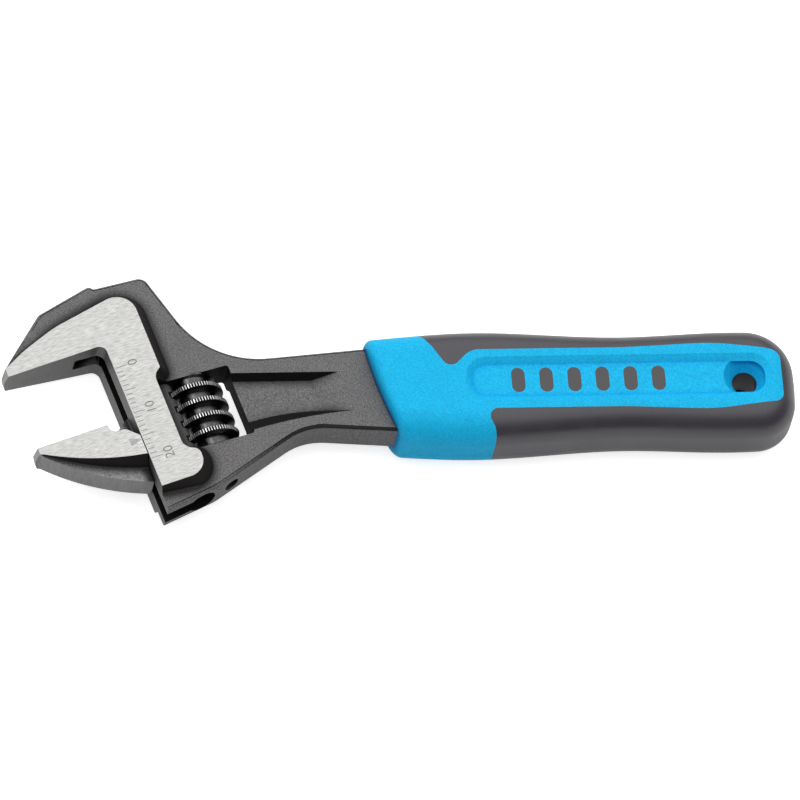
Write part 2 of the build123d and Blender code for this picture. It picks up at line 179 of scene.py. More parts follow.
class Nodes:
    """A node tree that is filled step by step."""

    def __init__(self, tree: bpy.types.NodeTree) -> None:
        """Takes the tree and empties it."""
        self.tree = tree
        self.tree.nodes.clear()

    def add(self, kind: str, **settings: object) -> bpy.types.Node:
        """Adds a node.

        Args:
            kind: the node's type.
            settings: its properties.

        Returns:
            The node.
        """
        node = self.tree.nodes.new(kind)
        for name, value in settings.items():
            setattr(node, name, value)
        return node

    def join(self, start: Socket, end: Socket) -> None:
        """Links two sockets."""
        self.tree.links.new(start, end)

    def ramp(self, factor: Socket, stops: Stops) -> Socket:
        """Colours between stops.

        Args:
            factor: the value that picks the colour.
            stops: places with their colours.

        Returns:
            The colour socket.
        """
        node = self.add("ShaderNodeValToRGB")
        elements = node.color_ramp.elements
        while len(elements) < len(stops):
            elements.new(1.0)
        for element, (place, colour) in zip(elements, stops):
            element.position = place
            element.color = (*colour, 1.0)
        self.join(factor, node.inputs[0])
        return node.outputs[0]

    def spread(self, value: Socket, low: float, high: float) -> Socket:
        """Zero to one between two values.

        Args:
            value: what is measured.
            low: the value that gives zero.
            high: the value that gives one.

        Returns:
            The value socket.
        """
        node = self.add("ShaderNodeMapRange")
        node.inputs["From Min"].default_value = low
        node.inputs["From Max"].default_value = high
        self.join(value, node.inputs["Value"])
        return node.outputs[0]


class Graph(Nodes):
    """Nodes of one material, with its surface shader in place."""

    MIX_FIRST = 6
    MIX_SECOND = 7
    MIX_RESULT = 2
    CORNER_SAMPLES = 8
    NOISE_STOPS: Span = (0.3, 0.7)

    def __init__(self, name: str) -> None:
        """Starts a material.

        Args:
            name: the material's name.
        """
        self.material = bpy.data.materials.new(name)
        self.material.use_nodes = True
        super().__init__(self.material.node_tree)
        output = self.add("ShaderNodeOutputMaterial")
        self.surface = self.add("ShaderNodeBsdfPrincipled")
        self.join(self.surface.outputs[0], output.inputs["Surface"])
        self.place = self.add("ShaderNodeTexCoord").outputs["Object"]

    def set(self, **values: object) -> None:
        """Sets the shader's own sockets, named with underscores for spaces."""
        for name, value in values.items():
            self.surface.inputs[name.replace("_", " ")].default_value = value

    def calc(self, operation: str, first: Socket, second: Socket | float = 0.0) -> Socket:
        """One step of arithmetic.

        Args:
            operation: its name.
            first: the first value.
            second: the second value, as a socket or a number.

        Returns:
            The value socket.
        """
        node = self.add("ShaderNodeMath", operation=operation)
        self.join(first, node.inputs[0])
        if isinstance(second, float):
            node.inputs[1].default_value = second
        else:
            self.join(second, node.inputs[1])
        return node.outputs[0]

    def axis(self, name: str) -> Socket:
        """One of the object's coordinates.

        Args:
            name: X, Y or Z.

        Returns:
            The value socket.
        """
        split = self.add("ShaderNodeSeparateXYZ")
        self.join(self.place, split.inputs[0])
        return split.outputs[name]

    def stretched(self, turn: float, scale: Triple) -> Socket:
        """Object coordinates turned about the vertical and scaled.

        Args:
            turn: angle of the stretched grain from X.
            scale: repeats per metre in each direction.

        Returns:
            The vector socket.
        """
        turned = self.add("ShaderNodeVectorRotate", rotation_type="Z_AXIS")
        turned.inputs["Angle"].default_value = -turn
        self.join(self.place, turned.inputs["Vector"])
        sized = self.add("ShaderNodeVectorMath", operation="MULTIPLY")
        sized.inputs[1].default_value = scale
        self.join(turned.outputs[0], sized.inputs[0])
        return sized.outputs[0]

    def noise(self, scale: float, detail: float = 3.0, place: Socket | None = None) -> Socket:
        """Noise over the surface.

        Args:
            scale: repeats per unit of the coordinates.
            detail: octaves.
            place: coordinates, the object's own if left out.

        Returns:
            The factor socket.
        """
        node = self.add("ShaderNodeTexNoise")
        node.inputs["Scale"].default_value = scale
        node.inputs["Detail"].default_value = detail
        self.join(place or self.place, node.inputs["Vector"])
        return node.outputs[0]

    def mottle(
        self, noise: Socket, colour: Colour, shares: Span, stops: Span = NOISE_STOPS
    ) -> Socket:
        """A colour that noise makes darker and lighter.

        Args:
            noise: the noise's factor.
            colour: the colour at a share of one.
            shares: the shares of it at low and at high noise.
            stops: the noise that gives each of them.

        Returns:
            The colour socket.
        """
        pairs = zip(stops, shares)
        return self.ramp(noise, [(stop, scaled(colour, share)) for stop, share in pairs])

    def times(self, *colours: Socket) -> Socket:
        """Product of colours.

        Args:
            colours: the colours, two or more.

        Returns:
            The colour socket.
        """
        product = colours[0]
        for colour in colours[1:]:
            node = self.add("ShaderNodeMix", data_type="RGBA", blend_type="MULTIPLY")
            node.inputs[0].default_value = 1.0
            self.join(product, node.inputs[self.MIX_FIRST])
            self.join(colour, node.inputs[self.MIX_SECOND])
            product = node.outputs[self.MIX_RESULT]
        return product

    def lighter(self, colour: Socket, share: Socket) -> Socket:
        """A colour that gives way to white.

        Args:
            colour: the colour.
            share: how much of it has gone.

        Returns:
            The colour socket.
        """
        node = self.add("ShaderNodeMix", data_type="RGBA")
        node.inputs[self.MIX_SECOND].default_value = (*WHITE, 1.0)
        self.join(share, node.inputs[0])
        self.join(colour, node.inputs[self.MIX_FIRST])
        return node.outputs[self.MIX_RESULT]

    def corners(self, reach: float, stops: Stops) -> Socket:
        """Painted shade: colours that follow how open the surface is.

        Args:
            reach: distance of the neighbours that count, in metres.
            stops: colours from closed in to fully open.

        Returns:
            The colour socket.
        """
        node = self.add("ShaderNodeAmbientOcclusion", samples=self.CORNER_SAMPLES)
        node.inputs["Distance"].default_value = reach
        return self.ramp(node.outputs["AO"], stops)

    def height(self, middle: float, low: float, high: float) -> Socket:
        """Zero to one with the distance from the mid plane.

        Args:
            middle: height of the mid plane.
            low: distance that gives zero.
            high: distance that gives one.

        Returns:
            The value socket.
        """
        above = self.calc("SUBTRACT", self.axis("Z"), middle)
        return self.spread(self.calc("ABSOLUTE", above), low, high)

    def paint(self, colour: Socket) -> None:
        """Uses a colour socket as the base colour."""
        self.join(colour, self.surface.inputs["Base Color"])

    def roughen(self, noise: Socket, levels: Span) -> None:
        """Roughness between two levels, by noise."""
        self.join(self.mottle(noise, WHITE, levels), self.surface.inputs["Roughness"])

    def bump(self, height: Socket, strength: float, depth: float) -> None:
        """Fine relief of the surface.

        Args:
            height: the relief, from zero to one.
            strength: how much of it shows.
            depth: its full depth, in metres.
        """
        node = self.add("ShaderNodeBump")
        node.inputs["Strength"].default_value = strength
        node.inputs["Distance"].default_value = depth
        self.join(height, node.inputs["Height"])
        self.join(node.outputs[0], self.surface.inputs["Normal"])


@dataclass(frozen=True)
class Finish:
    """Look of one kind of surface."""

    name: str

    def fill(self, graph: Graph) -> None:
        """Joins up the look's nodes, in each kind of finish."""
        raise NotImplementedError

    def build(self) -> bpy.types.Material:
        """Makes the material.

        Returns:
            The material.
        """
        graph = Graph(self.name)
        self.fill(graph)
        return graph.material


@dataclass(frozen=True)
class ForgedSteel(Finish):
    """Matt dark grey scale of a forging, with a fine grain and painted shade in its corners.

    The broad painted corner shade fades out along the neck, between open_from and open_to.
    """

    name: str = "forged_steel"
    colour: Colour = (0.154, 0.150, 0.150)
    grain: float = 3600.0
    speckle: Span = (0.5, 1.5)
    patch: float = 150.0
    patchy: Span = (0.88, 1.08)
    reach: float = 2.2 * MM
    shade: Shades = ((0.7, 0.02), (0.86, 0.28), (0.975, 1.0))
    open_from: float = -13.0 * MM
    open_to: float = -7.0 * MM
    near: float = 0.5 * MM
    near_shade: Shades = ((0.5, 0.05), (0.9, 1.0))
    rough: Span = (0.5, 0.62)
    relief: Span = (0.5, 0.08 * MM)

    def fill(self, graph: Graph) -> None:
        """Joins a speckled grain, broad patches and painted shade in the corners.

        Args:
            graph: the material's nodes.
        """
        fine = graph.noise(self.grain, detail=4.0)
        broad = graph.noise(self.patch)
        tone = graph.mottle(fine, self.colour, self.speckle)
        patches = graph.mottle(broad, WHITE, self.patchy)
        # Painted shade: darker where the surface is closed in, at two reaches.
        wide = graph.corners(self.reach, greys(self.shade))
        wide = graph.lighter(wide, graph.spread(graph.axis("X"), self.open_from, self.open_to))
        close = graph.corners(self.near, greys(self.near_shade))
        graph.paint(graph.times(tone, patches, wide, close))
        graph.roughen(broad, self.rough)
        graph.bump(fine, *self.relief)
        graph.set(Metallic=0.2, Specular_IOR_Level=0.35)


@dataclass(frozen=True)
class GroundSteel(Finish):
    """Bright face ground along the jaws, with short fine scratches."""

    turn: float
    colour: Colour = (1.0, 0.995, 0.97)
    scratch: Triple = (700.0, 5200.0, 0.0)
    scratched: Span = (0.42, 0.69)
    scratch_stops: Span = (0.3, 0.62)
    stroke: Triple = (160.0, 1500.0, 0.0)
    stroked: Span = (0.9, 1.0)
    rough: Span = (0.30, 0.42)
    relief: Span = (0.12, 0.02 * MM)

    def fill(self, graph: Graph) -> None:
        """Joins fine scratches and broader strokes.

        Args:
            graph: the material's nodes.
        """
        scratches = graph.noise(1.0, place=graph.stretched(self.turn, self.scratch))
        strokes = graph.noise(1.0, detail=2.0, place=graph.stretched(self.turn, self.stroke))
        fine = graph.mottle(scratches, self.colour, self.scratched, self.scratch_stops)
        graph.paint(graph.times(fine, graph.mottle(strokes, WHITE, self.stroked)))
        graph.roughen(scratches, self.rough)
        graph.bump(scratches, *self.relief)
        graph.set(Metallic=0.55, Anisotropic=0.35)


@dataclass(frozen=True)
class MachinedSteel(Finish):
    """Smooth machined face with fine cutter lines, in a dark grey, with painted shade in its
    corners.
    """

    turn: float
    colour: Colour = (0.155, 0.155, 0.153)
    line: Triple = (3600.0, 3600.0, 260.0)
    lined: Span = (0.8, 1.25)
    reach: float = 2.0 * MM
    shade: Shades = ((0.3, 0.12), (0.75, 0.7), (0.95, 1.0))
    rough: Span = (0.36, 0.5)
    relief: Span = (0.1, 0.02 * MM)

    def fill(self, graph: Graph) -> None:
        """Joins cutter lines and painted shade in the corners.

        Args:
            graph: the material's nodes.
        """
        lines = graph.noise(1.0, place=graph.stretched(self.turn, self.line))
        tone = graph.mottle(lines, self.colour, self.lined)
        # Painted shade in the corners.
        graph.paint(graph.times(tone, graph.corners(self.reach, greys(self.shade))))
        graph.roughen(lines, self.rough)
        graph.bump(lines, *self.relief)
        graph.set(Metallic=0.5)


@dataclass(frozen=True)
class ShadedWall(Finish):
    """Black on the walls under the ground faces and in the hollows: partly black scale, partly
    painted shade, with its own tone at the foot.
    """

    name: str = "black_wall"
    middle: float = 7.3 * MM
    foot: float = 3.45 * MM
    top: float = 4.4 * MM
    foot_tone: Colour = (0.007, 0.006, 0.006)
    wall_tone: Colour = (0.0098, 0.0084, 0.0084)
    wall_stop: float = 0.4
    top_tone: Colour = (0.016, 0.013, 0.013)
    grain: float = 3600.0
    speckle: Span = (0.75, 1.2)
    rough: Span = (0.5, 0.65)
    relief: Span = (0.3, 0.05 * MM)

    def fill(self, graph: Graph) -> None:
        """Joins tones of scale and painted shade that follow the height on the wall, with a fine
        grain.

        Args:
            graph: the material's nodes.
        """
        level = graph.height(self.middle, self.foot, self.top)
        stops = [(0.0, self.foot_tone), (self.wall_stop, self.wall_tone), (1.0, self.top_tone)]
        fine = graph.noise(self.grain, detail=4.0)
        graph.paint(graph.times(graph.ramp(level, stops), graph.mottle(fine, WHITE, self.speckle)))
        graph.roughen(fine, self.rough)
        graph.bump(fine, *self.relief)
        graph.set(Specular_IOR_Level=0.12)


@dataclass(frozen=True)
class BlackOxide(Finish):
    """Black finish of the worm and its pin; a lighter copy of it is a painted glint on the knurl's
    tooth tops.
    """

    colour: Colour = (0.085, 0.083, 0.083)
    rough: Span = (0.18, 0.27)
    grain: float = 2600.0
    speckle: Span = (0.7, 1.6)
    relief: Span = (0.12, 0.03 * MM)

    def fill(self, graph: Graph) -> None:
        """Joins a fine metallic grain.

        Args:
            graph: the material's nodes.
        """
        fine = graph.noise(self.grain)
        graph.paint(graph.mottle(fine, self.colour, self.speckle))
        graph.roughen(fine, self.rough)
        graph.bump(fine, *self.relief)
        graph.set(Metallic=1.0)


@dataclass(frozen=True)
class MouldedPlastic(Finish):
    """Hard coloured plastic with a fine spark-eroded grain, with painted shade in its corners and
    creases.
    """

    colour: Colour
    deep: Colour
    deep_stops: Span = (0.3, 0.85)
    reach: float = 3.0 * MM
    creased: Colour = (0.1, 0.62, 0.86)
    crease_stops: Span = (0.9, 0.985)
    crease: float = 1.4 * MM
    grain: float = 3000.0
    speckle: Span = (0.8, 1.14)
    patch: float = 240.0
    patchy: Span = (0.97, 1.02)
    rough: Span = (0.42, 0.52)
    relief: Span = (0.2, 0.03 * MM)

    def fill(self, graph: Graph) -> None:
        """Joins the grain, faint patches and two widths of painted shade in the creases.

        Args:
            graph: the material's nodes.
        """
        fine = graph.noise(self.grain)
        broad = graph.noise(self.patch, detail=2.0)
        tone = graph.mottle(fine, self.colour, self.speckle)
        patches = graph.mottle(broad, WHITE, self.patchy)
        # Painted shade: a bluer, darker tint where the surface is closed in.
        shade = graph.corners(self.reach, list(zip(self.deep_stops, (self.deep, WHITE))))
        creases = graph.corners(self.crease, list(zip(self.crease_stops, (self.creased, WHITE))))
        graph.paint(graph.times(tone, patches, shade, creases))
        graph.roughen(fine, self.rough)
        graph.bump(fine, *self.relief)
        graph.set(Specular_IOR_Level=0.09)


@dataclass(frozen=True)
class SoftGrip(Finish):
    """Soft dark moulded grip with a dull skin."""

    colour: Colour
    rough: Span = (0.32, 0.42)
    grain: float = 4200.0
    speckle: Span = (0.86, 1.14)
    patch: float = 180.0
    patchy: Span = (0.94, 1.05)
    relief: Span = (0.22, 0.03 * MM)

    def fill(self, graph: Graph) -> None:
        """Joins a fine grain and broad patches, under a faint sheen.

        Args:
            graph: the material's nodes.
        """
        fine = graph.noise(self.grain, detail=4.0)
        broad = graph.noise(self.patch, detail=2.0)
        tone = graph.mottle(fine, self.colour, self.speckle)
        graph.paint(graph.times(tone, graph.mottle(broad, WHITE, self.patchy)))
        graph.roughen(broad, self.rough)
        graph.bump(fine, *self.relief)
        graph.set(Specular_IOR_Level=0.8, Sheen_Weight=0.06, Sheen_Roughness=0.5)


@dataclass(frozen=True)
class EtchedMark(Finish):
    """Grey of an etched line on bright steel."""

    name: str = "etched_mark"
    colour: Colour = (0.22, 0.215, 0.21)
    grain: float = 5200.0
    speckle: Span = (0.7, 1.7)
    rough: Span = (0.5, 0.7)

    def fill(self, graph: Graph) -> None:
        """Joins a broken grey.

        Args:
            graph: the material's nodes.
        """
        fine = graph.noise(self.grain)
        graph.paint(graph.mottle(fine, self.colour, self.speckle))
        graph.roughen(fine, self.rough)
        graph.set(Metallic=0.4)


class Zone(IntEnum):
    """Finishes of one node, in the order of its material slots."""

    PLAIN = 0
    GROUND = 1
    MACHINED = 2
    SHADED = 3
    TIP = 4
    EDGE = 5
    FADED = 6


def dress(
    node: bpy.types.Object,
    materials: list[bpy.types.Material],
    choose: Callable[[Vector, Vector], int] | None = None,
) -> None:
    """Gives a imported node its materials.

    Args:
        node: the node's object.
        materials: its material slots.
        choose: slot for a facet, from its centre and normal; the first one if left out.
    """
    mesh = node.data
    mesh.materials.clear()
    for material in materials:
        mesh.materials.append(material)
    for facet in mesh.polygons:
        facet.material_index = int(choose(facet.center, facet.normal)) if choose else 0
    LOG.info("dressed %s with %d finishes", node.name, len(materials))


def add_piece(
    name: str, shape: bmesh.types.BMesh, body: str, slot: str, *materials: bpy.types.Material
) -> bpy.types.Object:
    """Turns a mesh in the row frame into a piece that rides on a body.

    Args:
        name: the piece's name.
        shape: its mesh, in metres, which is freed.
        body: the body it moves with.
        slot: the record's material slot; not used.
        materials: its finishes.

    Returns:
        The new object.
    """
    mesh = bpy.data.meshes.new(name)
    shape.to_mesh(mesh)
    shape.free()
    for material in materials:
        mesh.materials.append(material)
    piece = bpy.data.objects.new(name, mesh)
    bpy.context.scene.collection.objects.link(piece)
    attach(piece, body)
    LOG.info("built %s with %d facets", name, len(mesh.polygons))
    return piece


@dataclass
class Head:
    """Forged head and neck: their ground, machined and forged faces.

    Lengths are in millimetres. A facing is compared with one part of a facet's unit normal, the
    vertical part where nothing else is said: zero on an upright wall, one on a level face.
    """

    axes: HeadFrame
    forged_half: float = 3.45
    wall_level: float = 3.6
    throat_play: float = 0.03
    throat_facing: float = 0.02
    pocket_start: float = 20.0
    pocket_end: float = 50.0
    pocket_top: float = -5.0
    pocket_foot: float = -19.2
    pocket_slope: float = 0.16
    pocket_level: float = 1.9
    pocket_facing: Span = (0.3, 0.93)
    window: tuple[float, float, float, float] = (6.6, 21.8, -25.1, -9.8)
    window_edge: float = 0.6
    window_facing: float = 0.3
    bore_along: float = 7.85
    bore_radius: float = 2.85
    slot_half: float = 1.85
    channel_top: float = 9.5
    channel_foot: float = -24.0
    channel_end_facing: float = 0.5
    edge_start: float = 26.0
    edge_level: float = 2.6
    edge_facing: Span = (0.45, 0.97)
    edge_side_facing: float = 0.25

    def beside_window(self, along: float, rise: float) -> bool:
        """Tells whether a place on the head is in the window or at its edge."""
        start, end, foot, top = self.window
        return start - self.window_edge < along < end and foot < rise < top

    def in_window(self, centre: Vector, normal: Vector) -> bool:
        """Tells whether a facet is a wall of the worm's window.

        Args:
            centre: the facet's centre, in metres.
            normal: its outward normal.

        Returns:
            True on the window's walls.
        """
        along, rise, _ = self.axes.local(centre)
        start, end, foot, top = self.window
        inside = start < along < end and foot < rise < top
        return inside and abs(normal.z) < self.window_facing

    def in_channel(self, centre: Vector, normal: Vector) -> bool:
        """Tells whether a facet is a wall of the keyhole in which the jaw slides.

        Args:
            centre: the facet's centre, in metres.
            normal: its outward normal.

        Returns:
            True on the keyhole's walls, but not on the head's lower edge round it.
        """
        along, rise, height = self.axes.local(centre)
        downward = normal.dot(self.axes.rise()) < -self.channel_end_facing
        if rise > self.channel_top or (rise < self.channel_foot and downward):
            return False
        in_bore = math.hypot(along - self.bore_along, height) < self.bore_radius
        in_slot = self.throat_play < along < self.bore_along and abs(height) < self.slot_half
        return in_bore or in_slot

    def in_pocket(self, centre: Vector, normal: Vector) -> bool:
        """Tells whether a facet is a wall of a pocket of the neck.

        Args:
            centre: the facet's centre, in metres.
            normal: its outward normal.

        Returns:
            True on the sloping walls of either pocket.
        """
        offset = self.axes.offset(centre)
        foot = self.pocket_foot + self.pocket_slope * (offset.x - self.pocket_start)
        if not self.pocket_start < offset.x < self.pocket_end:
            return False
        if not foot < offset.y < self.pocket_top:
            return False
        low, high = self.pocket_facing
        return self.pocket_level < abs(offset.z) and low < abs(normal.z) < high

    def on_burnt_edge(self, centre: Vector, normal: Vector) -> bool:
        """Tells whether a facet is on the rounded lower edge of the neck, which is painted dark as
        shade.

        Args:
            centre: the facet's centre, in metres.
            normal: its outward normal.

        Returns:
            True on that edge of either face.
        """
        offset = self.axes.offset(centre)
        if offset.x < self.edge_start or normal.y > -self.edge_side_facing:
            return False
        low, high = self.edge_facing
        return self.edge_level < abs(offset.z) and low < abs(normal.z) < high

    def zone(self, centre: Vector, normal: Vector) -> Zone:
        """Finish of a facet of the body.

        Args:
            centre: the facet's centre, in metres.
            normal: its outward normal.

        Returns:
            The zone.
        """
        along, rise, height = self.axes.local(centre)
        if self.axes.is_ground(centre, normal):
            return Zone.GROUND
        if max(along, rise) < self.throat_play and abs(normal.z) < self.throat_facing:
            return Zone.MACHINED
        if self.axes.at_tip(centre, normal):
            return Zone.TIP
        # Walls under the ground faces: black, partly scale and partly painted shade; away from the
        # window they fade to the forged grey at the foot.
        if abs(height) > self.forged_half and abs(normal.z) < self.axes.level_facing:
            black = abs(height) < self.wall_level or self.beside_window(along, rise)
            return Zone.SHADED if black else Zone.FADED
        # Walls of the window, keyhole and pockets: black, partly scale and partly painted shade.
        tests = (self.in_window, self.in_channel, self.in_pocket)
        if any(test(centre, normal) for test in tests):
            return Zone.SHADED
        # The rounded lower edge of the neck takes painted shade.
        return Zone.EDGE if self.on_burnt_edge(centre, normal) else Zone.PLAIN

    def finishes(self) -> list[Finish]:
        """Finishes of the body's zones.

        Returns:
            The finishes, in the order of the zones.
        """
        turn = self.axes.turn
        return [
            ForgedSteel(),
            GroundSteel("ground_body", turn),
            MachinedSteel("machined_body", turn),
            ShadedWall(),
            MachinedSteel("body_tip", turn, colour=grey(0.3)),
            # Painted shade on the rounded lower edge of the neck.
            ForgedSteel("painted_edge_shade", colour=grey(0.016)),
            ShadedWall("faded_wall", foot=3.5 * MM, top=4.9 * MM, foot_tone=grey(0.1)),
        ]

    def build(self) -> None:
        """Dresses the body."""
        materials = [finish.build() for finish in self.finishes()]
        dress(frame["nodes"]["wrench_body"], materials, self.zone)


@dataclass
class MovingJaw:
    """Moving jaw with its index mark, in millimetres."""

    axes: HeadFrame
    forged_half: float = 2.45
    opening: float = 16.0
    face_play: float = 0.05
    face_facing: float = 0.99
    wall_facing: float = 0.05
    mark_tip: float = -0.2
    mark_length: float = 2.3
    mark_width: float = 1.7
    mark_rise: float = -21.0
    mark_depth: float = 0.015

    def zone(self, centre: Vector, normal: Vector) -> Zone:
        """Finish of a facet of the jaw.

        Args:
            centre: the facet's centre, in metres.
            normal: its outward normal.

        Returns:
            The zone.
        """
        along, rise, height = self.axes.local(centre)
        facing_nut = normal.dot(self.axes.rise()) > self.face_facing
        if along < 0 and self.axes.is_ground(centre, normal):
            return Zone.GROUND
        if along < 0 and facing_nut and rise > -self.opening - self.face_play:
            return Zone.MACHINED
        if self.axes.at_tip(centre, normal):
            return Zone.TIP
        # The rack and web inside the head: black, partly black oxide and partly painted shade.
        if along > 0:
            return Zone.SHADED
        # Walls under the ground face: black, partly scale and partly painted shade.
        sloping = self.wall_facing < abs(normal.z) < self.axes.level_facing
        if abs(height) > self.forged_half and sloping:
            return Zone.SHADED
        return Zone.EDGE if abs(normal.z) < self.wall_facing else Zone.PLAIN

    def finishes(self) -> list[Finish]:
        """Finishes of the jaw's zones.

        Returns:
            The finishes, in the order of the zones.
        """
        turn = self.axes.turn
        foot = self.forged_half * MM
        return [
            ForgedSteel("forged_jaw", colour=grey(0.27)),
            GroundSteel("ground_jaw", turn),
            MachinedSteel("machined_jaw", turn),
            ShadedWall("black_jaw", foot=foot, top=3.5 * MM, foot_tone=grey(0.1)),
            MachinedSteel("jaw_tip", turn, colour=grey(0.3)),
            MachinedSteel("jaw_edge", turn, colour=grey(0.21)),
        ]

    def build_mark(self, material: bpy.types.Material) -> bpy.types.Object:
        """Makes the plain index triangle that points at the scale.

        Args:
            material: its finish.

        Returns:
            The piece.
        """
        shape = bmesh.new()
        back = self.mark_tip - self.mark_length
        corners = [
            (self.mark_tip, self.mark_rise),
            (back, self.mark_rise + self.mark_width / 2),
            (back, self.mark_rise - self.mark_width / 2),
        ]
        base = self.axes.on_ground(0.0, 0.0)
        slope = math.cos(self.axes.taper)
        lower = []
        for along, rise in corners:
            point = Vector((along / slope, rise, -self.mark_depth)) * MM
            lower.append(shape.verts.new(base @ point))
        lift = base.to_3x3() @ Vector((0.0, 0.0, 2 * self.mark_depth * MM))
        upper = [shape.verts.new(vert.co + lift) for vert in lower]
        shape.faces.new(upper)
        shape.faces.new(reversed(lower))
        for index in range(len(corners)):
            after = (index + 1) % len(corners)
            shape.faces.new((lower[index], lower[after], upper[after], upper[index]))
        bmesh.ops.recalc_face_normals(shape, faces=shape.faces)
        return add_piece("index_mark", shape, "jaw", "jaw_steel", material)

    def build(self) -> None:
        """Dresses the jaw and adds its mark."""
        materials = [finish.build() for finish in self.finishes()]
        dress(frame["nodes"]["moving_jaw"], materials, self.zone)
        self.build_mark(EtchedMark("index_grey", grey(0.36)).build())


@dataclass
class Scale:
    """Millimetre scale etched along the strip of the head."""

    axes: HeadFrame
    zero: float = -5.4
    count: int = 20
    long_step: int = 5
    numeral_step: int = 10
    start: float = 0.2
    short: float = 1.3
    long: float = 2.2
    line: float = 0.14
    depth: float = 0.012
    numeral_along: float = 3.75
    numeral_lift: float = 0.15
    numeral_size: float = 2.6

    def stroke(self, shape: bmesh.types.BMesh, rise: float, length: float) -> None:
        """Adds one line of the scale.

        Args:
            shape: the mesh that it is added to.
            rise: its place across the jaws.
            length: its length along them.
        """
        base = self.axes.on_ground(self.start + length / 2, rise)
        size = Matrix.Diagonal((length * MM, self.line * MM, 2 * self.depth * MM, 1.0))
        bmesh.ops.create_cube(shape, size=1.0, matrix=base @ size)

    def numeral(self, shape: bmesh.types.BMesh, words: str, rise: float) -> None:
        """Adds one number, which reads towards the fixed jaw.

        Args:
            shape: the mesh that it is added to.
            words: the figures.
            rise: its place across the jaws.
        """
        text = bpy.data.curves.new("figures", "FONT")
        text.body = words
        text.size = self.numeral_size * MM
        text.extrude = self.depth * MM
        text.align_x = "CENTER"
        text.align_y = "CENTER"
        holder = bpy.data.objects.new("figures", text)
        bpy.context.scene.collection.objects.link(holder)
        bpy.context.view_layer.update()
        ready = holder.evaluated_get(bpy.context.evaluated_depsgraph_get())
        mesh = bpy.data.meshes.new_from_object(ready)
        base = self.axes.on_ground(self.numeral_along, rise)
        mesh.transform(base @ Matrix.Rotation(math.pi / 2, 4, "Z"))
        shape.from_mesh(mesh)
        bpy.data.objects.remove(holder)
        bpy.data.meshes.remove(mesh)

    def build(self, material: bpy.types.Material) -> bpy.types.Object:
        """Makes the scale as one piece on the body.

        Args:
            material: its finish.

        Returns:
            The piece.
        """
        shape = bmesh.new()
        for step in range(self.count + 1):
            length = self.long if step % self.long_step == 0 else self.short
            self.stroke(shape, self.zero - step, length)
            if step % self.numeral_step == 0:
                self.numeral(shape, str(step), self.zero - step + self.numeral_lift)
        return add_piece("scale_marks", shape, "body", "forged_steel", material)


